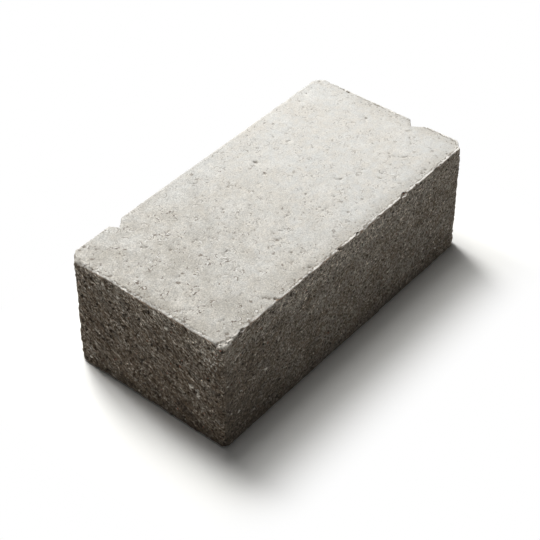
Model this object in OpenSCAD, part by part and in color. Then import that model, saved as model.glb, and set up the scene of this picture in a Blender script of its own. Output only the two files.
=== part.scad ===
// Solid concrete block, lying on one of its two large faces.
// It is cast as one piece, with its four upright corners cut off. Handling has worn every
// arris to a narrow flat, broken a piece off the top of one corner and knocked chips out of the
// top arrises.
// The origin is the middle of the face it lies on. X runs along the length, Y across the width
// and Z up. The front is the side towards -Y, and the left is the end towards -X.

/* [Block] */
// Length of the block
block_length = 200; // [150:1:300]
// Width of the block
block_width = 100; // [80:1:150]
// Height of the block
block_height = 70; // [50:1:120]

/* [Upright corners] */
// Distance that the front left corner is cut back along both of its sides
front_left_cut = 2.4; // [1:0.1:10]
// Distance that the front right corner is cut back along both of its sides
front_right_cut = 4.6; // [1:0.1:10]
// Distance that the back right corner is cut back along both of its sides
back_right_cut = 4.2; // [1:0.1:10]
// Distance that the back left corner is cut back along both of its sides
back_left_cut = 4.8; // [1:0.1:10]

/* [Arrises] */
// Distance that wear takes from both faces at a top arris
top_wear = 0.7; // [0.2:0.1:2]
// Distance that wear takes from both faces at a bottom arris
bottom_wear = 0.5; // [0.2:0.1:2]

/* [Broken corner, front left] */
// Length broken away along the front
break_length = 11.6; // [6:0.1:20]
// Length broken away along the left end
break_depth = 4.7; // [3:0.1:10]
// Height of the step down to the ledge where the break ends on the front
break_step = 0.3; // [0.1:0.1:2]
// How far below the top the ledge would meet the sharp corner
break_drop = 2.8; // [2:0.1:10]

/* [Chip in the back arris] */
// Distance of the deepest point from the left end
back_chip_place = 31.8; // [20:0.1:120]
// Length broken away to the left of the deepest point
back_chip_left = 2.8; // [1:0.1:8]
// Length broken away to the right of the deepest point
back_chip_right = 5.9; // [1:0.1:8]
// How far the chip reaches in across the top
back_chip_depth = 4.8; // [1:0.1:10]
// How far the chip reaches down the side
back_chip_drop = 9; // [1:0.1:20]

/* [Chip in the right arris] */
// Distance of the deepest point from the front side
right_chip_place = 32.2; // [20:0.1:60]
// Length broken away towards the front
right_chip_front = 7.7; // [1:0.1:8]
// Length broken away towards the back
right_chip_back = 4.1; // [1:0.1:8]
// How far the chip reaches in across the top
right_chip_depth = 4.7; // [1:0.1:10]
// How far the chip reaches down the end
right_chip_drop = 8; // [1:0.1:20]

/* [Chip in the front arris] */
// Distance of the deepest point from the left end
front_chip_place = 41; // [20:0.1:120]
// Length broken away to the left of the deepest point
front_chip_left = 2.2; // [1:0.1:8]
// Length broken away to the right of the deepest point
front_chip_right = 3.2; // [1:0.1:8]
// How far the chip reaches in across the top
front_chip_depth = 1.8; // [1:0.1:10]
// How far the chip reaches down the side
front_chip_drop = 2.4; // [1:0.1:20]

/* [Hidden] */

half_length = block_length / 2;
half_width = block_width / 2;

// How far a cutter runs past the faces that it cuts
cutter_spare = 5;

// Plan of the block, anticlockwise from the left end of the front side
outline = [
    [-half_length + front_left_cut, -half_width],
    [half_length - front_right_cut, -half_width],
    [half_length, -half_width + front_right_cut],
    [half_length, half_width - back_right_cut],
    [half_length - back_right_cut, half_width],
    [-half_length + back_left_cut, half_width],
    [-half_length, half_width - back_left_cut],
    [-half_length, -half_width + front_left_cut]
];

// Cutter for a flat along an arris of the given length. The arris runs along X from the origin,
// the block's outer side is towards -Y and its horizontal face is at Z = 0, facing up.
module arris_flat(length, wear) {
    translate([-cutter_spare, 0, 0])
        rotate([90, 0, 90])
            linear_extrude(length + 2 * cutter_spare)
                polygon([[2 * wear, wear], [-wear, wear], [-wear, -2 * wear]]);
}

// Places a cutter on the outline's edge with the given number, at Z = 0
module on_edge(number) {
    start = outline[number];
    run = outline[(number + 1) % len(outline)] - start;
    translate([start.x, start.y, 0])
        rotate([0, 0, atan2(run.y, run.x)])
            children();
}

// Length of the outline's edge with the given number
function edge_length(number) = norm(outline[(number + 1) % len(outline)] - outline[number]);

// Cutter for a chip out of a top arris, in the same frame as an arris flat, with the chip's
// deepest point level with the origin. Its two broken faces meet in a line that runs from the
// deepest point on the top down to a point on the side.
module arris_chip(before, after, depth, drop) {
    slant = norm([depth, drop]);
    mouth = depth * drop / slant;
    translate([0, depth, 0])
        rotate([atan2(-depth, drop), 0, 0])
            translate([0, 0, -slant - cutter_spare])
                linear_extrude(slant + 2 * cutter_spare)
                    polygon([[0, 0], [-2 * before, -2 * mouth], [2 * after, -2 * mouth]]);
}

// Cutter for a piece broken off a top corner. The corner is at the origin, with the block towards
// +X and +Y and its top at Z = 0. The break leaves an upright wall across the corner and, at its
// foot, a ledge that falls evenly towards the corner.
module corner_break(length, depth, step, drop) {
    slope = (drop - step) / (length * cos(45));
    reach = 2 * length;
    rise = slope * reach;
    intersection() {
        translate([0, 0, -2 * drop - cutter_spare])
            linear_extrude(2 * drop + 2 * cutter_spare)
                polygon([[2 * length, -depth], [-length, 2 * depth], [-length, -depth]]);
        rotate([90, 0, 45])
            linear_extrude(2 * reach, center = true)
                polygon([
                    [-reach, -drop - rise],
                    [reach, -drop + rise],
                    [reach, rise + cutter_spare],
                    [-reach, rise + cutter_spare]
                ]);
    }
}

// Narrow flats along every arris
module worn_arrises() {
    for (number = [0 : len(outline) - 1]) {
        translate([0, 0, block_height])
            on_edge(number)
                arris_flat(edge_length(number), top_wear);
        mirror([0, 0, 1])
            on_edge(number)
                arris_flat(edge_length(number), bottom_wear);
    }
}

// Pieces knocked out of the back, right and front top arrises
module chips() {
    translate([-half_length + back_chip_place, half_width, block_height])
        rotate([0, 0, 180])
            arris_chip(back_chip_right, back_chip_left, back_chip_depth, back_chip_drop);
    translate([half_length, -half_width + right_chip_place, block_height])
        rotate([0, 0, 90])
            arris_chip(right_chip_front, right_chip_back, right_chip_depth, right_chip_drop);
    translate([-half_length + front_chip_place, -half_width, block_height])
        arris_chip(front_chip_left, front_chip_right, front_chip_depth, front_chip_drop);
}

module concrete_block() {
    color([0.66, 0.64, 0.60])
        difference() {
            linear_extrude(block_height)
                polygon(outline);
            worn_arrises();
            chips();
            translate([-half_length, -half_width, block_height])
                corner_break(break_length, break_depth, break_step, break_drop);
        }
}

concrete_block();
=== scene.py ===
"""Looks of a solid concrete block: its worn, chipped and pitted surface, its finish, a plain pale
floor, soft light and a camera. Shapes are worked out in millimetres, and Blender gets metres."""
import itertools
import math

import bpy
import numpy as np
from mathutils import Matrix, Vector


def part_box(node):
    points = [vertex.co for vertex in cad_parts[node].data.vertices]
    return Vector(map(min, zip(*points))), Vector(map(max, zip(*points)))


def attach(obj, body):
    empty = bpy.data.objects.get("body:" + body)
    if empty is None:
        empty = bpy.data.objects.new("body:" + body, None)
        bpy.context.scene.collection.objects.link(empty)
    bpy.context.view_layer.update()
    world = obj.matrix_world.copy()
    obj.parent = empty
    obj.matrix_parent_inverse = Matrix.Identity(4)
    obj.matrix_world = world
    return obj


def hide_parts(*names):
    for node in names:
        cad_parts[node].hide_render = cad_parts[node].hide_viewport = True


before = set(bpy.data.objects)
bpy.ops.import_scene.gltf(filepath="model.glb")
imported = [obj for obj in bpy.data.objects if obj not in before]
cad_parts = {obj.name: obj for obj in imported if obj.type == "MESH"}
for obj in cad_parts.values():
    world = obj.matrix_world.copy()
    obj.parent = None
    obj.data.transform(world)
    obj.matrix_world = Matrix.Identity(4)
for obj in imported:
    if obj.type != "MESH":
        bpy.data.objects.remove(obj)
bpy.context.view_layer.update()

MM = 0.001
NODE = "concrete_block"
BODY = "root"

# Size of the block, from the frame
box_low, box_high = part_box(NODE)
HALF_LENGTH = (box_high.x - box_low.x) / 2 / MM
HALF_WIDTH = (box_high.y - box_low.y) / 2 / MM
HEIGHT = (box_high.z - box_low.z) / MM

# Fineness of the surface while it is worked, and of the finished piece
GRID_STEP = 0.42
FINISHED_TRIANGLES = 194000

# How far each upright corner is cut back along its sides: at the bottom, and at the top
CORNER_CUTS = {
    "front left": (1.6, 2.8),
    "front right": (3.2, 5.2),
    "back left": (3.6, 4.8),
    "back right": (4.0, 4.4),
}
CORNER_CUT_ROUGHNESS = 0.5
CORNER_ROUNDING = 0.4

# Wear of each top arris: the usual setback, how much it varies along the arris, and how strongly small
# bites are taken out of it, wherever a noise lies above the bite level
TOP_WEAR = {"front": 0.5, "back": 0.05, "left": 1.1, "right": 0.2}
TOP_WEAR_VARIES = {"front": 1.5, "back": 0.05, "left": 0.6, "right": 0.3}
TOP_BITES = {"front": 4.4, "back": 2.4, "left": 2.4, "right": 2.4}
LEAST_TOP_WEAR = 0.03
BITE_LEVEL = 0.28

# Wear of the bottom arrises: the usual setback, how much it varies, and how much more the left one has
BOTTOM_WEAR = 0.4
BOTTOM_WEAR_VARIES = 0.25
BOTTOM_WEAR_LEFT = 0.6

# How near to a side a point belongs to that side's arris, and how far an arris is rounded
ARRIS_REACH = 2
ARRIS_ROUNDING = 0.4

# Parts of the normal between which one surface turns into another: at the front's top arris and at the
# bottom, at the other top arrises, and at the ends. A point belongs to the front within the front's reach
SHARP_TURN = (0.55, 0.92)
WORN_TURN = (0.2, 0.6)
END_TURN = (0.4, 0.7)
FRONT_REACH = 3

# Lip of pale paste along the top arrises: its height, its distance in from the edge and its width, and
# the distance and width of the pitted groove inside it
LIP_HEIGHT = 0.26
LIP_INSET = 0.9
LIP_WIDTH = 0.7
GROOVE_INSET = 2.2
GROOVE_WIDTH = 1.0

# Break at the top of the front left corner: its length along the front and along the left end, the
# step down to its ledge where it ends on the front, the drop of the ledge at the sharp corner, how much
# the ledge swells up towards the wall, and the height of the small steps that it is broken into
BREAK_LENGTH = 11.6
BREAK_DEPTH = 4.7
BREAK_STEP = 0.3
BREAK_DROP = 2.8
BREAK_SWELL = 0.55
BREAK_TREAD = 0.9
# Shares of those steps: of the ledge's slope that a tread keeps, of the height at which a tread lies, and
# of the way up at which the riser starts
TREAD_SLOPE = 0.15
TREAD_LEVEL = 0.3
RISER_STARTS = 0.75

# Chips out of the top arrises: the side's axis and direction, the place along it, the length broken
# away before and after that place, how far in across the top, how far down the side, and how much
# the place moves along for each millimetre down
CHIPS = [
    dict(axis=1, sign=1, place=-68, before=3, after=6, depth=5.2, drop=9, lean=0.5),
    dict(axis=0, sign=1, place=-17.8, before=8, after=4.2, depth=5.4, drop=8, lean=0.4),
    dict(axis=1, sign=-1, place=-59, before=2.2, after=3.2, depth=1.8, drop=2.4, lean=0),
]
# Roughness of the broken corner's wall, and the shares of it that its ledge and the chips have
BREAK_ROUGHNESS = 0.35
LEDGE_ROUGHNESS = 1.8
CHIP_ROUGHNESS = 0.45

# Pale flakes of stone and paste in the left end: distance along it, height and size
END_FLAKES = [
    (-29.5, 31.4, 1.3),
    (-30.6, 31.2, 1.1),
    (-32.6, 30.0, 0.8),
    (-33.8, 28.9, 0.8),
    (-34.6, 27.6, 0.8),
    (-33.4, 26.6, 1.0),
    (-8.0, 66.5, 1.2),
    (-15.0, 61.0, 1.3),
    (16.5, 62.0, 1.3),
    (40.0, 13.0, 0.8),
    (40.0, 7.0, 0.8),
]
# The same for the front
FRONT_FLAKES = [
    (-69.0, 32.0, 1.1),
    (-59.0, 45.0, 1.0),
]
FLAKE_HEIGHT = 0.6

# Middle of a patch of pale crumbs in the left end
CRUMBS = (-100, -41.8, 57.6)

# Pits that show on the top: place, width and depth
TOP_PITS = [
    (16.3, 26.9, 3.0, 1.3),
    (11.8, 17.4, 1.6, 0.8),
    (24.9, 10.6, 1.0, 0.7),
    (12.3, -9.9, 2.2, 0.9),
    (13.9, -5.8, 1.2, 0.7),
    (7.4, -24.8, 1.4, 0.9),
    (-24.3, 14.9, 1.5, 0.8),
    (13.5, 36.9, 1.3, 0.7),
    (-22.5, -17.0, 1.6, 0.7),
    (-38.6, -4.2, 1.5, 0.8),
    (-64.5, 14.5, 2.2, 0.9),
    (-57.7, 45.5, 1.2, 0.8),
    (-79.9, 29.0, 1.2, 0.6),
    (-81.9, -10.0, 1.2, 0.7),
    (-77.7, -15.8, 1.5, 0.7),
    (-89.8, -12.1, 1.3, 0.7),
    (-75.1, -30.7, 1.2, 0.6),
    (-98.1, -25.0, 2.4, 0.9),
    (-91.6, -45.6, 2.6, 0.7),
    (85.3, 5.4, 1.7, 1.1),
    (98.6, 27.4, 1.4, 1.0),
    (95.5, 16.4, 1.2, 0.6),
    (95.2, -4.4, 1.3, 0.7),
    (68.2, -45.6, 2.2, 1.0),
    (64.6, -46.2, 1.8, 0.8),
    (74.3, -44.5, 1.6, 0.8),
    (86.8, -46.9, 1.7, 0.9),
    (96.5, 46.8, 1.6, 1.0),
    (-28.1, -32.8, 1.8, 0.7),
    (-25.0, -36.5, 1.5, 0.7),
    (-89.8, 48.6, 2.4, 0.9),
    (-93.4, 48.2, 2.0, 0.8),
    (-98.0, 43.6, 1.6, 0.6),
    (-98.4, 34.7, 1.6, 0.5),
    (-97.4, 23.6, 2.2, 0.8),
    (-98.6, 16.0, 1.4, 0.5),
    (-98.0, 4.0, 1.6, 0.6),
    (-62.6, -42.9, 1.8, 0.9),
    (-61.2, -43.9, 2.0, 1.0),
    (-60.5, -45.5, 2.0, 1.1),
    (-58.9, -47.8, 2.6, 1.4),
    (-43.4, -47.0, 1.8, 0.8),
    (-30.9, -46.4, 2.2, 0.9),
]
# Shares of that width and depth that are pressed in
PIT_WIDTH_SHARE = 0.85
PIT_DEPTH_SHARE = 0.8

# Curved cracks round grains that lie just under the top: place, radius, direction of the middle of
# the crack in degrees from +X, and the angle that it spans
TOP_CRESCENTS = [
    (-75.2, 13.4, 1.7, 40, 300),
    (-76.8, 3.0, 3.0, 50, 150),
    (-63.0, -20.5, 2.8, 50, 150),
    (-59.0, 15.0, 2.0, 60, 160),
    (-55.4, 26.5, 2.0, 240, 150),
    (-70.0, 27.1, 2.6, 220, 120),
    (-48.5, -9.8, 2.2, 60, 170),
    (-8.1, -15.9, 2.4, 70, 160),
    (7.0, -24.0, 2.3, 30, 220),
    (34.0, -14.6, 2.0, 200, 240),
    (-16.5, 41.6, 2.4, 250, 220),
    (-8.8, 22.0, 2.4, 50, 130),
    (71.3, -29.1, 2.6, 210, 140),
    (-85.7, -36.3, 2.2, 240, 140),
    (24.9, -2.8, 2.2, 20, 90),
    (58.1, 4.8, 2.6, 130, 80),
    (12.5, 18.4, 2.2, 240, 110),
]
CRACK_DEPTH = 0.5
CRACK_WIDTH = 0.34
GRAIN_HEIGHT = 0.16

# Small marks scattered on the top: how many pores and cracks, and how many clusters they lie in and how
# wide these spread
SMALL_PORES = 260
SMALL_CRACKS = 70
CLUSTERS = 60
CLUSTER_SPREAD = 7

# Directions of the streaks: of the relief and the colour of the ends, and of the colour of the long sides
STREAK = (0, -0.82, -0.57)
SIDE_STREAK = (-0.88, 0, -0.475)

# Colours of the top
COOL_GREY = (0.690, 0.686, 0.656, 1)
WARM_TAN = (0.703, 0.672, 0.613, 1)
PALE_DUST = (0.79, 0.778, 0.735, 1)
SOIL = (0.42, 0.39, 0.335, 1)
RIM_COLOUR = (0.95, 0.92, 0.855, 1)
# Painted shade in the groove inside the rim
GROOVE_PAINTED_SHADE = (0.17, 0.14, 0.105, 1)
# Painted shade in the small pits along the arrises
EDGE_PIT_PAINTED_SHADE = (0.27, 0.225, 0.18, 1)
# Painted shade in thin cracks, and the painted highlight along their edge
CRACK_PAINTED_SHADE = (0.14, 0.11, 0.085, 1)
CRACK_PAINTED_HIGHLIGHT = (0.84, 0.825, 0.785, 1)
# Painted shade in the cracks round grains
RING_PAINTED_SHADE = (0.19, 0.155, 0.12, 1)
# Painted shade in tiny pores
TOP_PORE_PAINTED_SHADE = (0.17, 0.145, 0.115, 1)
# Dirt and painted shade in the top's hollows
TOP_HOLLOW_DIRT_AND_SHADE = (0.16, 0.13, 0.10, 1)

# Colours of the long sides and of the ends
SIDE_BROWN = (0.248, 0.198, 0.146, 1)
END_BROWN = (0.220, 0.159, 0.104, 1)
SIDE_GREY = (0.246, 0.225, 0.196, 1)
END_GREY = (0.216, 0.195, 0.167, 1)
# Painted shade in the sides' pores
SIDE_PORE_PAINTED_SHADE = (0.038, 0.031, 0.024, 1)
# Dirt and painted shade in the sides' hollows
SIDE_HOLLOW_DIRT_AND_SHADE = (0.06, 0.05, 0.04, 1)
RED_GRAIN = (0.40, 0.17, 0.11, 1)
PALE_GRAIN = (0.80, 0.77, 0.70, 1)
# Pale crumbs, made paler still as a painted highlight
PALE_CRUMBS_AND_HIGHLIGHT = (0.95, 0.92, 0.85, 1)

# Colours of the line along the arrises, and of freshly broken paste, made paler still as a painted
# highlight
ARRIS_BROWN = (0.47, 0.325, 0.225, 1)
FRESH_PASTE_AND_HIGHLIGHT = (0.97, 0.92, 0.83, 1)

# Soft oblong lamps: place, width and length, turn about the beam in radians, and power
LAMPS = [
    dict(name="key", place=(224, 597, 1255), size=(325, 1182), turn=-0.366, power=18.2),
    dict(name="back", place=(-2, 786, 738), size=(118, 180), turn=-0.79, power=3.6),
]
SKY_LEVEL = 0.06

# Floor: its colour, the colour by which it passes light on to the block, a faint glow in its shadow, how
# fast the glow sets in away from the ends and from the sides, and where it turns plain white
FLOOR_COLOUR = (1.14, 1.135, 1.10, 1)
FLOOR_PASSES_ON = (0.80, 0.785, 0.75, 1)
FLOOR_GLOW = 0.03
GLOW_SETS_IN = (15, 1, 0)
FLOOR_WHITENS = (19.0, 58.0)

# Camera: its place, the directions of the picture's right, down and depth, and its lens
CAMERA_PLACE = (-450.94, -363.16, 539.79)
CAMERA_RIGHT = (0.63377, -0.77351, 0.00412)
CAMERA_DOWN = (-0.51481, -0.42577, -0.7441)
CAMERA_FORWARD = (0.57732, 0.46947, -0.66806)
CAMERA_LENS = 96.809
CAMERA_SENSOR = 36.0


# Noise

NOISE_SIZE = 256
NOISE_GAIN = 1.6
noise_source = np.random.default_rng(11)
noise_order = noise_source.permutation(NOISE_SIZE)
noise_slopes = noise_source.normal(size=(NOISE_SIZE, 3))
noise_slopes /= np.linalg.norm(noise_slopes, axis=1, keepdims=True)


def lattice_number(corner):
    """A scrambled number below the noise's size for each corner of a lattice."""
    last = NOISE_SIZE - 1
    number = noise_order[corner[:, 0] & last]
    number = noise_order[(number + corner[:, 1]) & last]
    return noise_order[(number + corner[:, 2]) & last]


def smooth_noise(points, cell, seed):
    """Noise from about -1 to 1, with bumps about one cell across."""
    scaled = points / cell + 17.31 * seed
    corner = np.floor(scaled).astype(np.int64)
    inner = scaled - corner
    fade = inner ** 3 * (inner * (inner * 6 - 15) + 10)
    total = np.zeros(len(points))
    for step in itertools.product((0, 1), repeat=3):
        offset = inner - step
        share = np.where(step, fade, 1 - fade).prod(axis=1)
        slope = noise_slopes[lattice_number(corner + step)]
        total += share * np.einsum("ij,ij->i", slope, offset)
    return NOISE_GAIN * total


def layered_noise(points, cell, layers, seed):
    """Noise with finer and weaker noise on top of it, each layer half the last."""
    total = np.zeros(len(points))
    for layer in range(layers):
        total += smooth_noise(points, cell / 2 ** layer, seed + layer) / 2 ** layer
    return total


def facets(points, cell, seed):
    """Height of a surface broken into facets about one cell across, each with its own level and tilt,
    from about -1 to 1 cells."""
    scaled = points / cell + 5.17 * seed
    corner = np.floor(scaled).astype(np.int64)
    nearest = np.full(len(points), np.inf)
    height = np.zeros(len(points))
    for step in itertools.product((-1, 0, 1), repeat=3):
        number = lattice_number(corner + step)
        offset = scaled - (corner + step + 0.5 + 0.5 * noise_slopes[number])
        distance = np.einsum("ij,ij->i", offset, offset)
        tilt = noise_slopes[noise_order[number]]
        level = np.einsum("ij,ij->i", offset, tilt) + 0.4 * tilt[:, 0]
        closer = distance < nearest
        height = np.where(closer, level, height)
        nearest = np.where(closer, distance, nearest)
    return height


def ease(low, high, value):
    """0 below low, 1 above high and a smooth rise between."""
    share = np.clip((value - low) / (high - low), 0, 1)
    return share * share * (3 - 2 * share)


def round_max(first, second, reach):
    """The larger of two values, with the crease between them rounded."""
    overlap = np.maximum(reach - np.abs(first - second), 0) / reach
    return np.maximum(first, second) + overlap * overlap * reach / 4


# Shape of the block

def box_sides(numbers):
    """The axis, the end and the part of a box-shaped array on each of its six sides."""
    for axis in range(3):
        for end in (0, -1):
            yield axis, end, np.moveaxis(numbers, axis, 0)[end]


def box_grid(counts):
    """Points all over a unit box and the four-sided faces between them. The top's own points
    are returned as a grid too."""
    numbers = np.full([count + 1 for count in counts], -1, np.int64)
    for _, _, side in box_sides(numbers):
        side[:] = 0
    shell = np.argwhere(numbers == 0)
    numbers[tuple(shell.T)] = np.arange(len(shell))
    faces = []
    for axis, end, side in box_sides(numbers):
        corners = [side[:-1, :-1], side[1:, :-1], side[1:, 1:], side[:-1, 1:]]
        facing_out = (end == -1) != (axis == 1)
        if not facing_out:
            corners.reverse()
        faces.append(np.stack(corners, axis=-1).reshape(-1, 4))
    return shell / np.array(counts), np.concatenate(faces), numbers[:, :, -1]


def corner_setback(points):
    """How far the upright corner nearest to each point is cut back, at the point's height."""
    rise = points[:, 2] / HEIGHT
    left = points[:, 0] < 0
    front = points[:, 1] < 0
    setback = np.zeros(len(points))
    for name, (low, high) in CORNER_CUTS.items():
        here = (left == ("left" in name)) & (front == ("front" in name))
        setback[here] = (low + (high - low) * rise)[here]
    return setback


def chip_depth(points, chip):
    """How far each point lies inside a chip's two broken faces. It is below 0 outside them."""
    axis = chip["axis"]
    half = (HALF_LENGTH, HALF_WIDTH)[axis]
    out = chip["sign"] * points[:, axis] - half
    up = points[:, 2] - HEIGHT
    along = points[:, 1 - axis] - chip["place"] + chip["lean"] * up
    inside = np.full(len(points), np.inf)
    for reach, direction in ((chip["before"], 1), (chip["after"], -1)):
        steepness = math.hypot(1 / reach, 1 / chip["depth"], 1 / chip["drop"])
        level = 1 + direction * along / reach + out / chip["depth"] + up / chip["drop"]
        inside = np.minimum(inside, level / steepness)
    return inside


def wall_level(points, roughness):
    """How far each point lies outside the upright sides and corner cuts, below 0 within them."""
    end = np.abs(points[:, 0]) - HALF_LENGTH
    side = np.abs(points[:, 1]) - HALF_WIDTH
    corner_inset = -(end + side) / math.sqrt(2)
    corner = (corner_setback(points) + roughness) / math.sqrt(2) - corner_inset
    return round_max(np.maximum(end, side), corner, CORNER_ROUNDING)


def break_level(points, roughness):
    """How far each point lies in the piece broken off the front left corner: in front of an upright
    wall across the corner, and above a ledge that falls towards the corner in small steps."""
    along = points[:, 0] + HALF_LENGTH
    inward = points[:, 1] + HALF_WIDTH
    share = 1 - along / BREAK_LENGTH - inward / BREAK_DEPTH
    wall = share / math.hypot(1 / BREAK_LENGTH, 1 / BREAK_DEPTH) + roughness
    fall = (BREAK_DROP - BREAK_STEP) / BREAK_LENGTH
    rise = fall * (along + inward) + BREAK_SWELL * (1 - share) - LEDGE_ROUGHNESS * roughness
    whole = np.floor(rise / BREAK_TREAD)
    riser = ease(RISER_STARTS, 1.0, rise / BREAK_TREAD - whole)
    stepped = BREAK_TREAD * (whole + TREAD_LEVEL + (1 - TREAD_LEVEL) * riser)
    rise = TREAD_SLOPE * rise + (1 - TREAD_SLOPE) * stepped
    above = points[:, 2] - (HEIGHT - BREAK_DROP + rise)
    return np.minimum(wall, above)


def arris_values(points, front, back, left, right):
    """A value for each point, from the top arris that it lies nearest to."""
    value = np.full(len(points), front)
    value[points[:, 0] < ARRIS_REACH - HALF_LENGTH] = left
    value[points[:, 0] > HALF_LENGTH - ARRIS_REACH] = right
    value[points[:, 1] > HALF_WIDTH - ARRIS_REACH] = back
    return value


def wear_shares(points):
    """Each point's own share of the wear: of the corner cuts, of the arrises and of broken faces."""
    waves = layered_noise(points, cell=11, layers=3, seed=60)
    bite = np.maximum(smooth_noise(points, cell=2.6, seed=66) - BITE_LEVEL, 0)
    top = arris_values(points, **TOP_WEAR) + arris_values(points, **TOP_WEAR_VARIES) * waves
    left = points[:, 0] < ARRIS_REACH - HALF_LENGTH
    return {
        "corner": CORNER_CUT_ROUGHNESS * layered_noise(points, cell=6, layers=2, seed=70),
        "top": np.maximum(top, LEAST_TOP_WEAR) + arris_values(points, **TOP_BITES) * bite,
        "bottom": BOTTOM_WEAR + BOTTOM_WEAR_VARIES * waves + BOTTOM_WEAR_LEFT * left,
        "broken": BREAK_ROUGHNESS * layered_noise(points, cell=2.5, layers=2, seed=74),
    }


def outside(points, worn):
    """How far each point lies outside the block, below 0 within it. worn holds each point's own
    share of the wear."""
    wall = wall_level(points, worn["corner"])
    top = points[:, 2] - HEIGHT
    bottom = -points[:, 2]
    top_arris = (wall + top + worn["top"]) / math.sqrt(2)
    bottom_arris = (wall + bottom + worn["bottom"]) / math.sqrt(2)
    level = round_max(np.maximum(wall, top), top_arris, ARRIS_ROUNDING)
    level = round_max(np.maximum(level, bottom), bottom_arris, ARRIS_ROUNDING)
    level = np.maximum(level, break_level(points, worn["broken"]))
    for chip in CHIPS:
        level = np.maximum(level, chip_depth(points, chip) + CHIP_ROUGHNESS * worn["broken"])
    return level


def cut_to_shape(points, worn):
    """Moves the points of a plain box in to the worn block's surface, along lines from its core."""
    margin = 14.0
    halvings = 18
    low = np.array([-HALF_LENGTH, -HALF_WIDTH, 0]) + margin
    high = np.array([HALF_LENGTH, HALF_WIDTH, HEIGHT]) - margin
    core = np.clip(points, low, high)
    line = points - core
    near = np.zeros(len(points))
    far = np.ones(len(points))
    for _ in range(halvings):
        middle = (near + far) / 2
        out = outside(core + line * middle[:, None], worn) > 0
        far = np.where(out, middle, far)
        near = np.where(out, near, middle)
    return core + line * far[:, None]


def point_normals(points, faces):
    """Unit normal at each point, from the faces round it."""
    first = points[faces[:, 2]] - points[faces[:, 0]]
    second = points[faces[:, 3]] - points[faces[:, 1]]
    face_normals = np.cross(first, second)
    normals = np.zeros_like(points)
    for axis in range(3):
        weights = np.repeat(face_normals[:, axis], 4)
        normals[:, axis] = np.bincount(faces.ravel(), weights, len(points))
    return normals / np.linalg.norm(normals, axis=1, keepdims=True)


def window(grid, points, place, reach):
    """Numbers of the top's points within reach of a place, and their offsets from it."""
    counts = np.array(grid.shape) - 1
    sizes = np.array([2 * HALF_LENGTH, 2 * HALF_WIDTH])
    low = np.floor((np.array(place) - reach + sizes / 2) / sizes * counts).astype(int)
    high = np.ceil((np.array(place) + reach + sizes / 2) / sizes * counts).astype(int)
    low = np.clip(low, 0, counts)
    high = np.clip(high, 0, counts)
    numbers = grid[low[0]:high[0] + 1, low[1]:high[1] + 1].ravel()
    return numbers, points[numbers, :2] - place


def press_pit(relief, grid, points, place, width, depth):
    """Presses an uneven pit into the top."""
    numbers, offset = window(grid, points, place, width)
    ragged = 1 + 0.45 * smooth_noise(points[numbers], 0.6 * width, seed=3)
    radius = np.hypot(offset[:, 0], offset[:, 1]) / (width / 2) * ragged
    relief[numbers] -= depth * (1 - ease(0.45, 1.15, radius))


def press_crescent(relief, grid, points, place, radius, middle, span):
    """Presses a thin curved crack into the top, round a grain that stands a little proud."""
    numbers, offset = window(grid, points, place, radius + 2)
    ragged = 1 + 0.25 * smooth_noise(points[numbers], cell=1.2, seed=5)
    broken = 0.6 + 0.4 * ease(-0.2, 0.2, smooth_noise(points[numbers], cell=1.1, seed=6))
    reach = np.hypot(offset[:, 0], offset[:, 1]) * ragged
    turn = np.degrees(np.arctan2(offset[:, 1], offset[:, 0])) - middle
    turn = np.abs((turn + 180) % 360 - 180)
    along = 1 - ease(0.35 * span, 0.55 * span, turn)
    crack = np.exp(-((reach - radius) / CRACK_WIDTH) ** 2)
    grain = 1 - ease(0.5 * radius, radius, reach)
    relief[numbers] += along * (GRAIN_HEIGHT * grain - CRACK_DEPTH * crack * broken)


def scattered_places(count, scatter):
    """Places for small marks on the top, in loose clusters that are thicker towards the left end."""
    size = np.array([HALF_LENGTH, HALF_WIDTH])
    centres = scatter.uniform(-size, size, (CLUSTERS, 2))
    chance = 1.3 - 0.6 * centres[:, 0] / HALF_LENGTH
    chosen_clusters = scatter.choice(CLUSTERS, count, p=chance / chance.sum())
    places = centres[chosen_clusters] + scatter.normal(0, CLUSTER_SPREAD, (count, 2))
    return np.clip(places, 1 - size, size - 1)


def top_relief(points, grid):
    """Height of the top's fine relief at each point: waves, grit, pores, pits and cracks."""
    relief = 0.10 * layered_noise(points, cell=30, layers=2, seed=20)
    relief += 0.05 * layered_noise(points, cell=3.0, layers=3, seed=24)
    scatter = np.random.default_rng(5)
    for place in scattered_places(SMALL_PORES, scatter):
        width = 0.7 + 0.7 * scatter.random() ** 2
        press_pit(relief, grid, points, place, width, 0.3 * width)
    for place in scattered_places(SMALL_CRACKS, scatter):
        radius = 0.8 + 1.4 * scatter.random()
        middle = 360 * scatter.random()
        span = 50 + 110 * scatter.random()
        press_crescent(relief, grid, points, place, radius, middle, span)
    for x, y, width, depth in TOP_PITS:
        press_pit(relief, grid, points, (x, y), PIT_WIDTH_SHARE * width, PIT_DEPTH_SHARE * depth)
    for x, y, radius, middle, span in TOP_CRESCENTS:
        press_crescent(relief, grid, points, (x, y), radius, middle, span)
    return relief


def lip_relief(points, inset):
    """Height of the lip of paste along the top arrises, and of the pitted groove inside it."""
    strength = 0.6 + 0.8 * smooth_noise(points, cell=14, seed=81)
    front = 1 - ease(-HALF_WIDTH + 4, -HALF_WIDTH + 10, points[:, 1])
    back = ease(HALF_WIDTH - 10, HALF_WIDTH - 4, points[:, 1])
    strength = np.clip(strength, 0.1, 1) * (0.5 + 0.5 * front - 0.4 * back)
    lip = np.exp(-((inset - LIP_INSET) / LIP_WIDTH) ** 2)
    groove = np.exp(-((inset - LIP_INSET - GROOVE_INSET) / GROOVE_WIDTH) ** 2)
    pitted = ease(0.1, 0.5, smooth_noise(points, cell=1.8, seed=83))
    return LIP_HEIGHT * strength * (lip - groove * (0.25 + 1.3 * pitted))


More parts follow.
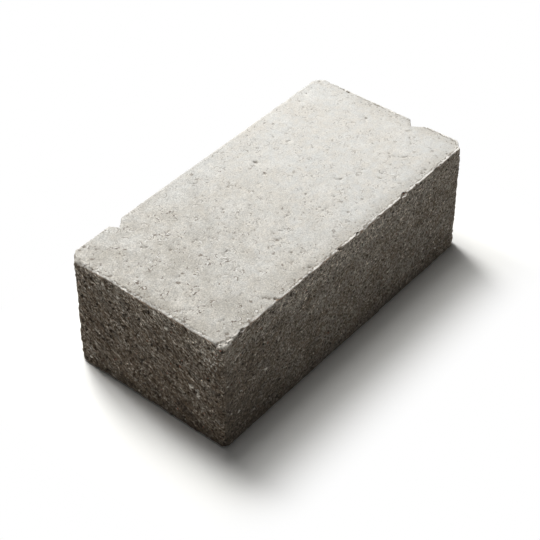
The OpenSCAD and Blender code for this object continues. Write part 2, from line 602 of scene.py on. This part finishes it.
def rough_relief(points):
    """Height of the rough sides' relief at each point: waves, broken facets drawn out along the streaks,
    grit and holes."""
    shifts = [smooth_noise(points, cell=2.5, seed=seed) for seed in (41, 42, 43)]
    drawn = points + 0.9 * np.stack(shifts, axis=1)
    streak = np.array(STREAK)
    drawn -= 0.5 * np.outer(drawn @ streak, streak)
    relief = 0.30 * layered_noise(points, cell=13, layers=2, seed=40)
    relief += 0.20 * facets(drawn, cell=3.2, seed=44)
    relief += 0.27 * facets(drawn, cell=1.6, seed=45)
    relief += 0.20 * layered_noise(points, cell=1.8, layers=2, seed=47)
    relief -= 0.7 * ease(0.42, 0.58, smooth_noise(points, cell=1.9, seed=52))
    return relief


def flake_share(points):
    """1 on the pale flakes of the left end and the front, and 0 away from them."""
    share = np.zeros(len(points))
    flakes = [(-HALF_LENGTH, along, height, size) for along, height, size in END_FLAKES]
    flakes += [(along, -HALF_WIDTH, height, size) for along, height, size in FRONT_FLAKES]
    ragged = 1 + 0.5 * smooth_noise(points, cell=1.1, seed=88)
    for x, y, z, size in flakes:
        distance = np.linalg.norm(points - (x, y, z), axis=1) * ragged
        share = np.maximum(share, 1 - ease(0.5 * size, 1.1 * size, distance))
    return share


def weathered_block():
    """Points and faces of the whole block, and values for its finish at each point: the share of top
    surface, of the two ends, of pale paste, which gets a painted highlight, and the depth below the
    surface around, by which hollows get dirt and painted shade."""
    sizes = np.array([2 * HALF_LENGTH, 2 * HALF_WIDTH, HEIGHT])
    counts = np.rint(sizes / GRID_STEP).astype(int)
    unit, faces, top_grid = box_grid(counts)
    points = unit * sizes - np.array([HALF_LENGTH, HALF_WIDTH, 0])
    worn = wear_shares(points)
    points = cut_to_shape(points, worn)

    # What each point is part of
    normals = point_normals(points, faces)
    upward = normals[:, 2]
    front = points[:, 1] < FRONT_REACH - HALF_WIDTH
    top_share = np.where(front, ease(*SHARP_TURN, upward), ease(*WORN_TURN, upward))
    bottom_share = ease(*SHARP_TURN, -upward)
    end_share = ease(*END_TURN, np.abs(normals[:, 0]))
    flakes = flake_share(points)
    ledge = 1 - ease(0.15, 0.4, np.abs(break_level(points, worn["broken"])))

    # Relief of the top and of the sides, which don't stand proud just below the top
    inset = -wall_level(points, worn["corner"])
    smooth = top_relief(points, top_grid) + lip_relief(points, inset)
    rough = 0.1 + rough_relief(points) * (0.85 + 0.4 * end_share)
    below = HEIGHT - points[:, 2]
    rough = np.minimum(rough, 0) + np.maximum(rough, 0) * ease(0.4, 3.0, below)
    rough += FLAKE_HEIGHT * flakes
    relief = top_share * smooth + (1 - top_share) * rough
    relief = np.where(bottom_share > 0, relief - bottom_share * (relief + 0.2 * np.abs(rough)), relief)
    relief += 0.15 * ledge * facets(points, cell=2.6, seed=91)
    points = points + normals * relief[:, None]
    points[:, 2] = np.maximum(points[:, 2], 0)

    # Depth in hollows, which the material darkens with dirt and painted shade
    hollow_dirt_and_shade = np.where(top_share > 0.5, ease(0.08, 0.5, -smooth), ease(0.12, 0.8, -rough))
    values = {
        "top_share": top_share,
        "end_share": end_share,
        # Pale paste on the broken ledge and the flakes, which the material makes paler still as a painted
        # highlight
        "pale_and_highlight_share": np.maximum(ledge * (0.75 + 0.25 * ease(0.3, 0.55, upward)), flakes),
        "hollow_dirt_and_shade": hollow_dirt_and_shade * (1 - 0.9 * ledge),
    }
    return points, faces, values


def mesh_from_arrays(name, points, faces, values):
    """A mesh of four-sided faces, and one named value at each point."""
    mesh = bpy.data.meshes.new(name)
    mesh.vertices.add(len(points))
    mesh.vertices.foreach_set("co", (points * MM).astype(np.float32).ravel())
    mesh.loops.add(faces.size)
    mesh.loops.foreach_set("vertex_index", faces.astype(np.int32).ravel())
    mesh.polygons.add(len(faces))
    mesh.polygons.foreach_set("loop_start", np.arange(0, faces.size, 4, dtype=np.int32))
    mesh.update(calc_edges=True)
    for label, value in values.items():
        layer = mesh.attributes.new(label, "FLOAT", "POINT")
        layer.data.foreach_set("value", value.astype(np.float32))
    mesh.validate()
    return mesh


def thin_out(piece, triangles):
    """Takes triangles out of a piece where its surface is flattest, and shades it smooth."""
    thinner = piece.modifiers.new("thin_out", "DECIMATE")
    thinner.ratio = triangles / (2 * len(piece.data.polygons))
    thinner.use_collapse_triangulate = True
    evaluated = piece.evaluated_get(bpy.context.evaluated_depsgraph_get())
    mesh = bpy.data.meshes.new_from_object(evaluated)
    piece.modifiers.remove(thinner)
    piece.data = mesh
    mesh.polygons.foreach_set("use_smooth", np.ones(len(mesh.polygons), bool))
    mesh.update()


def add_object(name, data):
    """Links new data into the scene as an object."""
    made = bpy.data.objects.new(name, data)
    bpy.context.scene.collection.objects.link(made)
    return made


# Parts of materials

def link_or_set(tree, socket, value):
    """Links an input to another node's output, or sets it to a plain value."""
    if isinstance(value, bpy.types.NodeSocket):
        tree.links.new(value, socket)
    else:
        socket.default_value = value


def add_node(tree, kind, values=None, **settings):
    """Adds a node, sets its options, and sets or links its inputs."""
    made = tree.nodes.new(kind)
    for name, setting in settings.items():
        setattr(made, name, setting)
    for name, value in (values or {}).items():
        link_or_set(tree, made.inputs[name], value)
    return made


def calculated(tree, operation, *values):
    """One sum, product or the like of values."""
    return add_node(tree, "ShaderNodeMath", dict(enumerate(values)), operation=operation).outputs["Value"]


def product(tree, first, *others):
    """Several values multiplied together."""
    for other in others:
        first = calculated(tree, "MULTIPLY", first, other)
    return first


def vector_math(tree, operation, *values):
    """The outputs of one sum, length or the like of vectors."""
    return add_node(tree, "ShaderNodeVectorMath", dict(enumerate(values)), operation=operation).outputs


def coordinates(tree, place):
    """The X, Y and Z of a place."""
    return add_node(tree, "ShaderNodeSeparateXYZ", {"Vector": place}).outputs


def mapped(tree, value, low, high, to_low=0.0, to_high=1.0):
    """A value eased from one range to another."""
    settings = {"Value": value, "From Min": low, "From Max": high, "To Min": to_low, "To Max": to_high}
    made = add_node(tree, "ShaderNodeMapRange", settings, interpolation_type="SMOOTHSTEP")
    return made.outputs["Result"]


def ramp(tree, length, low, high, to_low=0.0, to_high=1.0):
    """A length eased from a range in millimetres to another range."""
    return mapped(tree, length, low * MM, high * MM, to_low, to_high)


def blended(tree, share, first, second, mode="MIX"):
    """Two colours or places mixed by a share."""
    made = add_node(tree, "ShaderNodeMix", data_type="RGBA", blend_type=mode)
    inputs = {socket.identifier: socket for socket in made.inputs}
    for name, value in (("Factor_Float", share), ("A_Color", first), ("B_Color", second)):
        link_or_set(tree, inputs[name], value)
    return next(socket for socket in made.outputs if socket.identifier == "Result_Color")


def toned(tree, colour, tone):
    """A colour made darker or lighter by a factor."""
    grey = add_node(tree, "ShaderNodeCombineColor", {"Red": tone, "Green": tone, "Blue": tone})
    return blended(tree, 1.0, colour, grey.outputs["Color"], "MULTIPLY")


def noise_value(tree, place, size, detail=2.0, rough=0.5):
    """A noise texture with features about size millimetres across, from 0 to 1."""
    settings = {"Vector": place, "Scale": 1 / (size * MM), "Detail": detail, "Roughness": rough}
    return add_node(tree, "ShaderNodeTexNoise", settings).outputs["Fac"]


def weighted_tone(tree, parts, strength=1.0):
    """A factor that doubles for each whole step of the weighted sum of noises round their middle."""
    total = 0.0
    for noise, weight in parts:
        step = product(tree, calculated(tree, "SUBTRACT", noise, 0.5), weight)
        total = calculated(tree, "ADD", step, total)
    return calculated(tree, "POWER", 2.0, product(tree, total, strength))


def cells(tree, place, size):
    """A texture of grains about size millimetres apart, and three random values of each grain."""
    settings = {"Vector": place, "Scale": 1 / (size * MM)}
    texture = add_node(tree, "ShaderNodeTexVoronoi", settings).outputs
    return texture, add_node(tree, "ShaderNodeSeparateColor", {"Color": texture["Color"]}).outputs


def specks(tree, place, size, reach):
    """Nearness to the middle of scattered grains, and three random values of each grain."""
    texture, random = cells(tree, place, size)
    return mapped(tree, texture["Distance"], 0.6 * reach, reach, 1.0, 0.0), random


def chosen(tree, near, value, above):
    """The specks whose random value lies above a limit."""
    return product(tree, near, calculated(tree, "GREATER_THAN", value, above))


def thin_lines(tree, noise, level, reach):
    """1 along the curved lines where a noise crosses a level, and 0 away from them."""
    away = calculated(tree, "ABSOLUTE", calculated(tree, "SUBTRACT", noise, level))
    return mapped(tree, away, 0.4 * reach, reach, 1.0, 0.0)


def shaken(tree, place, size, reach):
    """The place moved about by noise, up to about half of reach each way."""
    settings = {"Vector": place, "Scale": 1 / (size * MM), "Detail": 2.0}
    noise = add_node(tree, "ShaderNodeTexNoise", settings).outputs["Color"]
    centred = vector_math(tree, "SUBTRACT", noise, (0.5, 0.5, 0.5))["Vector"]
    return vector_math(tree, "MULTIPLY_ADD", centred, (2 * reach * MM,) * 3, place)["Vector"]


def stretched(tree, place, toward, share):
    """The place drawn together along one direction, so that noise there is stretched along it."""
    direction = tuple(Vector(toward).normalized())
    reach = vector_math(tree, "DOT_PRODUCT", place, direction)["Value"]
    settings = {0: direction, "Scale": product(tree, reach, share)}
    shift = add_node(tree, "ShaderNodeVectorMath", settings, operation="SCALE").outputs["Vector"]
    return vector_math(tree, "SUBTRACT", place, shift)["Vector"]


def between(tree, start, end):
    """The direction from one place to another."""
    return vector_math(tree, "NORMALIZE", vector_math(tree, "SUBTRACT", end, start)["Vector"])["Vector"]


def painted_relief_shade(tree, place, size, detail, rough):
    """Painted relief shading, as if lit from up and toward the front left corner: how much a noise
    rises over a short step that way, round 0.5.
    """
    step = tuple(0.22 * MM * part for part in (-0.6, -0.6, 0.85))
    high = noise_value(tree, vector_math(tree, "ADD", place, step)["Vector"], size, detail, rough)
    low = noise_value(tree, vector_math(tree, "SUBTRACT", place, step)["Vector"], size, detail, rough)
    return calculated(tree, "ADD", calculated(tree, "SUBTRACT", high, low), 0.5)


# Finish of the top

def edge_distance(tree, place):
    """How far a point of the top lies in from the sides and corner cuts, in metres, with a little more
    at the ends, where the rim is narrower, and with waves."""
    end_shift = 0.3
    corner_cut = 5
    wave_reach = 3.2
    away = coordinates(tree, vector_math(tree, "ABSOLUTE", place)["Vector"])
    end = calculated(tree, "SUBTRACT", (HALF_LENGTH + end_shift) * MM, away["X"])
    side = calculated(tree, "SUBTRACT", HALF_WIDTH * MM, away["Y"])
    corner = calculated(tree, "ADD", calculated(tree, "ADD", end, side), -corner_cut * MM)
    corner = product(tree, corner, math.sqrt(0.5))
    nearest = calculated(tree, "MINIMUM", calculated(tree, "MINIMUM", end, side), corner)
    waves = product(tree, noise_value(tree, place, size=2.2, detail=3, rough=0.65), wave_reach * MM)
    return calculated(tree, "ADD", nearest, waves)


def top_ground(tree, place, along):
    """Cool grey, warm tan and pale dusty patches, darker and browner to the left, partly soil and
    partly painted shade.
    """
    large = noise_value(tree, place, size=20, detail=4)
    small = noise_value(tree, place, size=3.5, detail=3)
    patches = mapped(tree, calculated(tree, "ADD", large, small), 0.7, 1.3)
    colour = blended(tree, patches, COOL_GREY, WARM_TAN)
    dust = mapped(tree, noise_value(tree, place, size=11, detail=5, rough=0.6), 0.48, 0.68)
    colour = blended(tree, product(tree, dust, 0.4), colour, PALE_DUST)
    patchy = noise_value(tree, place, size=15, detail=4, rough=0.6)
    patchy = mapped(tree, patchy, 0.35, 0.65, 0.45, 1.0)
    # Soil towards the left end, partly painted shade for the light that falls off there
    soil_and_painted_shade = product(tree, ramp(tree, along, -100, 70, 0.68, 0.0), patchy)
    return blended(tree, soil_and_painted_shade, colour, SOIL)


def with_border(tree, colour, place, along, across, edge):
    """Adds along the arrises: a pale rim, painted shade in the broken groove inside it and a band of
    soil.
    The rim is faint at the back and near the front left corner, and strong along the rest of the front."""
    uneven = noise_value(tree, place, size=8, detail=4, rough=0.6)
    uneven = mapped(tree, uneven, 0.36, 0.6, 0.4, 1.0)
    uneven = product(tree, uneven, ramp(tree, across, 30, 40, 1.0, 0.15))
    strong = product(tree, ramp(tree, across, -45, -35, 0.95, 0.0), ramp(tree, along, -50, -20))
    uneven = calculated(tree, "MAXIMUM", uneven, strong)
    faint = ramp(tree, across, -45, -35, 0.35, 1.0)
    faint = calculated(tree, "MAXIMUM", faint, ramp(tree, along, -70, -45))
    uneven = product(tree, uneven, faint)
    rim = product(tree, ramp(tree, edge, 2.5, 3.0, 1.0, 0.0), uneven)
    colour = blended(tree, rim, colour, RIM_COLOUR)

    # Painted shade in the broken groove inside the rim
    broken = noise_value(tree, place, size=2.4, detail=3, rough=0.7)
    broken = mapped(tree, broken, 0.40, 0.52, 0.0, 0.95)
    groove = product(tree, ramp(tree, edge, 2.8, 3.1), ramp(tree, edge, 3.3, 3.9, 1.0, 0.0))
    colour = blended(tree, product(tree, groove, product(tree, broken, uneven)), colour, GROOVE_PAINTED_SHADE)

    soil = product(tree, ramp(tree, edge, 2.8, 3.6), ramp(tree, edge, 5, 12, 0.35, 0.0))
    soil = product(tree, soil, ramp(tree, across, 10, 42, 1.0, 0.0), ramp(tree, along, 50, 90, 1.0, 0.6))
    return blended(tree, soil, colour, SOIL)


def with_edge_pits(tree, colour, place, across, edge):
    """Adds small pits in painted shade in a band along the arrises."""
    band = product(tree, ramp(tree, edge, 3.7, 4.5), ramp(tree, edge, 5.5, 8, 0.9, 0.0))
    near, random = specks(tree, place, size=1.5, reach=0.33)
    pits = product(tree, chosen(tree, near, random["Red"], 0.55), band)
    pits = product(tree, pits, ramp(tree, across, 30, 40, 1.0, 0.3))
    return blended(tree, pits, colour, EDGE_PIT_PAINTED_SHADE)


def with_cracks(tree, colour, place, clusters):
    """Adds thin curved cracks in painted shade, with a painted highlight along one side."""
    bends = noise_value(tree, place, size=3.2, detail=1.5)
    gaps = mapped(tree, noise_value(tree, place, size=2.1, detail=1), 0.45, 0.58)
    marks = product(tree, clusters, gaps)
    painted_highlight = product(tree, thin_lines(tree, bends, 0.54, 0.035), marks)
    colour = blended(tree, painted_highlight, colour, CRACK_PAINTED_HIGHLIGHT)
    crack = product(tree, thin_lines(tree, bends, 0.5, 0.034), marks)
    return blended(tree, crack, colour, CRACK_PAINTED_SHADE)


def with_rings(tree, colour, place, strength):
    """Adds arcs round grains just under the surface: painted shade outside and a painted highlight
    inside.
    """
    bent = shaken(tree, place, size=2.2, reach=1.2)
    grains, random = cells(tree, bent, size=6.5)
    out = between(tree, grains["Position"], bent)
    toward = between(tree, (0.5, 0.5, 0.5), grains["Color"])
    facing = vector_math(tree, "DOT_PRODUCT", out, toward)["Value"]
    arcs = product(tree, chosen(tree, mapped(tree, facing, 0.2, 0.6), random["Red"], 0.5), strength)
    inner = product(tree, thin_lines(tree, grains["Distance"], 0.25, 0.05), arcs, 0.5)
    colour = blended(tree, inner, colour, CRACK_PAINTED_HIGHLIGHT)
    outer = product(tree, thin_lines(tree, grains["Distance"], 0.31, 0.045), arcs, 0.8)
    return blended(tree, outer, colour, RING_PAINTED_SHADE)


def top_colour(tree, place, along, across):
    """Patches, a border and small pits along the arrises, and grit, cracks, rings and tiny pores, which
    are stronger to the left. The pits, cracks, rings and pores are painted shade, and the cracks and
    rings have painted highlights beside them."""
    edge = edge_distance(tree, place)
    strength = ramp(tree, along, -100, 80, 1.0, 0.45)
    colour = top_ground(tree, place, along)
    colour = with_border(tree, colour, place, along, across, edge)
    fine = noise_value(tree, place, size=0.65, detail=2, rough=0.7)
    middle = noise_value(tree, place, size=3.6, detail=3)
    colour = toned(tree, colour, weighted_tone(tree, ((fine, 2.2), (middle, 0.6)), strength))
    colour = with_edge_pits(tree, colour, place, across, edge)

    clusters = mapped(tree, noise_value(tree, place, size=10, detail=2), 0.44, 0.60, 0.0, 0.85)
    clusters = product(tree, clusters, strength)
    colour = with_cracks(tree, colour, place, clusters)
    colour = with_rings(tree, colour, place, strength)
    near, random = specks(tree, place, size=1.8, reach=0.26)
    pores = product(tree, chosen(tree, near, random["Red"], 0.66), clusters)
    return blended(tree, pores, colour, TOP_PORE_PAINTED_SHADE)


# Finish of the sides

def streaked(tree, place, end_share, on_ends, on_sides):
    """The place drawn together along the streaks, by one share on the ends and another on the sides."""
    along_sides = stretched(tree, place, SIDE_STREAK, on_sides)
    return blended(tree, end_share, along_sides, stretched(tree, place, STREAK, on_ends))


def side_painted_light(tree, place, end_share):
    """Painted light and shade on the sides, round 0.5. The long sides get lighter to the right and have a
    lighter band at the top, and the ends get lighter upwards."""
    split = coordinates(tree, place)
    long_sides = ramp(tree, split["X"], -110, 0, -0.53, 0.32)
    band = product(tree, ramp(tree, split["X"], -30, 70, 0.65, 0.2), ramp(tree, split["Z"], 52, 62))
    long_sides = calculated(tree, "ADD", long_sides, band)
    long_sides = product(tree, long_sides, calculated(tree, "SUBTRACT", 1.0, end_share))
    upper = ramp(tree, split["Z"], 53, 67, -0.1, 0.25)
    lower = ramp(tree, split["Z"], 2, 16, -0.15, 0.0)
    ends = product(tree, calculated(tree, "ADD", upper, lower), end_share)
    return calculated(tree, "ADD", calculated(tree, "ADD", long_sides, ends), 0.5)


def side_tone(tree, place, moved, streaks, end_share):
    """How light or dark the sides are, as a factor: grains, painted relief shading along the streaks,
    fine grit, broad patches, painted light and shade by place and height, and thin pale ridges on the
    ends with painted shade in the gaps beside them."""
    thin = streaked(tree, place, end_share, 0.7, 0.5)
    bends = noise_value(tree, streaks, size=2.2, detail=4, rough=0.72)
    parts = (
        (cells(tree, moved, size=2.6)[1]["Red"], 0.4),
        (painted_relief_shade(tree, streaks, size=0.95, detail=3, rough=0.75), 8.2),
        (noise_value(tree, thin, size=0.62, detail=2, rough=0.7), 7.8),
        (noise_value(tree, place, size=11, detail=3), 1.8),
        (side_painted_light(tree, place, end_share), 1.0),
        # Painted shade: the sides darker towards the bottom
        (ramp(tree, coordinates(tree, place)["Z"], 0, HEIGHT), 0.5),
        # Thin pale ridges on the ends, with painted shade in the gaps beside them
        (product(tree, thin_lines(tree, bends, 0.58, 0.05), end_share), 0.5),
        (product(tree, thin_lines(tree, bends, 0.46, 0.05), end_share), -0.5),
    )
    return weighted_tone(tree, parts, mapped(tree, end_share, 0, 1, 0.8, 0.94))


def with_grains(tree, colour, place, moved, end_share):
    """Adds pores of two sizes in painted shade, red and pale grains, and a patch of pale crumbs
    made paler still as a painted highlight.
    """
    near, random = specks(tree, moved, size=1.5, reach=0.36)
    small = product(tree, chosen(tree, near, random["Red"], 0.66), 0.8)
    colour = blended(tree, small, colour, SIDE_PORE_PAINTED_SHADE)
    colour = blended(tree, chosen(tree, near, random["Green"], 0.982), colour, RED_GRAIN)
    near, random = specks(tree, moved, size=2.6, reach=0.34)
    larger = product(tree, chosen(tree, near, random["Red"], 0.72), 0.9)
    colour = blended(tree, larger, colour, SIDE_PORE_PAINTED_SHADE)
    colour = blended(tree, chosen(tree, near, random["Blue"], 0.975), colour, PALE_GRAIN)

    # Pale crumbs, made paler still as a painted highlight
    away = vector_math(tree, "DISTANCE", place, tuple(part * MM for part in CRUMBS))["Value"]
    near, random = specks(tree, moved, size=1.15, reach=0.46)
    crumbs = product(tree, chosen(tree, near, random["Green"], 0.55), end_share)
    crumbs = product(tree, crumbs, ramp(tree, away, 4, 11, 1.0, 0.0))
    return blended(tree, crumbs, colour, PALE_CRUMBS_AND_HIGHLIGHT)


def side_colour(tree, place, end_share):
    """Brown and grey broken paste: streaks and patches of darker and lighter tone, partly painted light
    and shade, the light ones greyer, with pores in painted shade and grains."""
    moved = shaken(tree, place, size=2.2, reach=1.2)
    streaks = streaked(tree, moved, end_share, 0.76, 0.6)
    tone = side_tone(tree, place, moved, streaks, end_share)
    brown = blended(tree, end_share, SIDE_BROWN, END_BROWN)
    grey = blended(tree, end_share, SIDE_GREY, END_GREY)
    cool = product(tree, noise_value(tree, streaks, size=4.0, detail=5, rough=0.8), 4.0)
    cool = mapped(tree, calculated(tree, "ADD", tone, cool), 2.3, 4.0)
    colour = toned(tree, blended(tree, cool, brown, grey), tone)
    return with_grains(tree, colour, place, moved, end_share)


# Whole materials

def concrete_material():
    """Pale dusty top, rough brown-grey sides, a brown line along the arrises, pale fresh breaks with a
    painted highlight, and hollows darkened by dirt and painted shade."""
    material = bpy.data.materials.new("weathered_concrete")
    material.use_nodes = True
    tree = material.node_tree
    shader = tree.nodes["Principled BSDF"]
    place = add_node(tree, "ShaderNodeTexCoord").outputs["Object"]
    split = coordinates(tree, place)
    shares = {}
    for name in ("top_share", "end_share", "pale_and_highlight_share", "hollow_dirt_and_shade"):
        shares[name] = add_node(tree, "ShaderNodeAttribute", attribute_name=name).outputs["Fac"]

    side = side_colour(tree, place, shares["end_share"])
    top = top_colour(tree, place, split["X"], split["Y"])
    colour = blended(tree, shares["top_share"], side, top)
    rising = mapped(tree, shares["top_share"], 0.05, 0.3)
    falling = mapped(tree, shares["top_share"], 0.45, 0.8, 1.0, 0.0)
    uneven = mapped(tree, noise_value(tree, place, size=7, detail=3), 0.4, 0.6, 0.35, 0.95)
    line = product(tree, rising, falling, uneven, ramp(tree, split["Y"], 30, 45, 1.0, 0.2))
    colour = blended(tree, line, colour, ARRIS_BROWN)
    # Fresh breaks and flakes: pale paste, made paler still as a painted highlight
    grain = noise_value(tree, place, size=1.3, detail=3, rough=0.7)
    pale_paste_and_highlight = toned(tree, FRESH_PASTE_AND_HIGHLIGHT, weighted_tone(tree, ((grain, 3.0),)))
    colour = blended(tree, shares["pale_and_highlight_share"], colour, pale_paste_and_highlight)
    # Hollows darkened by dirt and painted shade
    dirt_and_painted_shade = blended(tree, shares["top_share"], SIDE_HOLLOW_DIRT_AND_SHADE, TOP_HOLLOW_DIRT_AND_SHADE)
    colour = blended(tree, product(tree, shares["hollow_dirt_and_shade"], 0.7), colour, dirt_and_painted_shade)
    tree.links.new(colour, shader.inputs["Base Color"])

    roughness = mapped(tree, noise_value(tree, place, size=3, detail=3), 0.3, 0.7, 0.82, 0.97)
    tree.links.new(roughness, shader.inputs["Roughness"])
    shader.inputs["Specular IOR Level"].default_value = 0.25

    fine = noise_value(tree, place, size=1.0, detail=4, rough=0.65)
    smooth = calculated(tree, "MAXIMUM", shares["top_share"], shares["pale_and_highlight_share"])
    strength = mapped(tree, smooth, 0, 1, 1.0, 0.35)
    bump = add_node(tree, "ShaderNodeBump", {"Height": fine, "Strength": strength, "Distance": 1.2 * MM})
    tree.links.new(bump.outputs["Normal"], shader.inputs["Normal"])
    return material


def seen_directly(tree):
    """1 for what the camera sees straight or in a reflection, and 0 for light that is passed on."""
    path = add_node(tree, "ShaderNodeLightPath").outputs
    seen = calculated(tree, "MAXIMUM", path["Is Camera Ray"], path["Is Glossy Ray"])
    return calculated(tree, "MAXIMUM", seen, path["Is Transmission Ray"])


def floor_material():
    """White floor that keeps the shadow near the block, darkest at the block's foot, and turns plain
    white away from it."""
    material = bpy.data.materials.new("pale_floor")
    material.use_nodes = True
    tree = material.node_tree
    tree.nodes.remove(tree.nodes["Principled BSDF"])

    # Distance from the block's footprint, in which height doesn't count
    footprint = (HALF_LENGTH * MM, HALF_WIDTH * MM, 1.0)
    place = add_node(tree, "ShaderNodeNewGeometry").outputs["Position"]
    away = vector_math(tree, "ABSOLUTE", place)["Vector"]
    away = vector_math(tree, "SUBTRACT", away, footprint)["Vector"]
    away = vector_math(tree, "MAXIMUM", away, (0, 0, 0))["Vector"]
    gap = vector_math(tree, "LENGTH", away)["Value"]
    foot = vector_math(tree, "MULTIPLY", away, GLOW_SETS_IN)["Vector"]
    foot = vector_math(tree, "LENGTH", foot)["Value"]

    shaded = add_node(tree, "ShaderNodeBsdfDiffuse", {"Color": FLOOR_COLOUR}).outputs["BSDF"]
    level = ramp(tree, foot, -0.5, 6, 0.0, FLOOR_GLOW)
    glow = add_node(tree, "ShaderNodeEmission", {"Color": FLOOR_COLOUR, "Strength": level}).outputs[0]
    shaded = add_node(tree, "ShaderNodeAddShader", {0: shaded, 1: glow}).outputs["Shader"]
    white = add_node(tree, "ShaderNodeEmission", {"Color": (1, 1, 1, 1)}).outputs["Emission"]
    share = ramp(tree, gap, *FLOOR_WHITENS)
    look = add_node(tree, "ShaderNodeMixShader", {0: share, 1: shaded, 2: white}).outputs["Shader"]
    passed_on = add_node(tree, "ShaderNodeBsdfDiffuse", {"Color": FLOOR_PASSES_ON}).outputs["BSDF"]
    seen = seen_directly(tree)
    floor = add_node(tree, "ShaderNodeMixShader", {0: seen, 1: passed_on, 2: look}).outputs["Shader"]
    tree.links.new(floor, tree.nodes["Material Output"].inputs["Surface"])
    return material


# Scene

def build_block():
    """The weathered block, in place of its plain solid."""
    points, faces, values = weathered_block()
    block = add_object("weathered_block", mesh_from_arrays("weathered_block", points, faces, values))
    thin_out(block, FINISHED_TRIANGLES)
    block.data.materials.append(concrete_material())
    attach(block, BODY)
    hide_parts(NODE)


def build_floor():
    """A wide floor just under the block."""
    half = 6000 * MM
    drop = -0.1 * MM
    mesh = bpy.data.meshes.new("floor")
    corners = [(-half, -half, drop), (half, -half, drop), (half, half, drop), (-half, half, drop)]
    mesh.from_pydata(corners, [], [(0, 1, 2, 3)])
    floor = add_object("floor", mesh)
    floor.data.materials.append(floor_material())


def build_lamp(name, place, size, turn, power):
    """A soft oblong lamp that faces the block's place, turned about that direction."""
    lamp = bpy.data.lights.new(name, "AREA")
    lamp.shape = "RECTANGLE"
    lamp.size = size[0] * MM
    lamp.size_y = size[1] * MM
    lamp.energy = power
    holder = add_object(name, lamp)
    back = Vector(place).normalized()
    level = Vector((0, 1, 0)).cross(back).normalized()
    across = Matrix.Rotation(turn, 3, back) @ level
    turned = Matrix((across, back.cross(across), back)).transposed().to_4x4()
    holder.matrix_world = Matrix.Translation(Vector(place) * MM) @ turned


def build_lights():
    """Soft lamps above and behind the block, and a sky that looks white and lights the block dimly."""
    for lamp in LAMPS:
        build_lamp(**lamp)

    world = bpy.data.worlds.new("studio")
    bpy.context.scene.world = world
    world.use_nodes = True
    tree = world.node_tree
    background = tree.nodes["Background"]
    strength = mapped(tree, seen_directly(tree), 0, 1, SKY_LEVEL, 1.0)
    tree.links.new(strength, background.inputs["Strength"])
    background.inputs["Color"].default_value = (1, 1, 1, 1)


def build_camera():
    """The camera at the photograph's angle."""
    camera = bpy.data.cameras.new("camera")
    camera.lens = CAMERA_LENS
    camera.sensor_width = CAMERA_SENSOR
    camera.clip_start = 0.01
    holder = add_object("camera", camera)
    right, down, forward = (Vector(row) for row in (CAMERA_RIGHT, CAMERA_DOWN, CAMERA_FORWARD))
    turned = Matrix((right, -down, -forward)).transposed().to_4x4()
    holder.matrix_world = Matrix.Translation(Vector(CAMERA_PLACE) * MM) @ turned
    bpy.context.scene.camera = holder


bpy.context.scene.view_settings.view_transform = "Standard"
build_camera()
build_block()
build_floor()
build_lights()
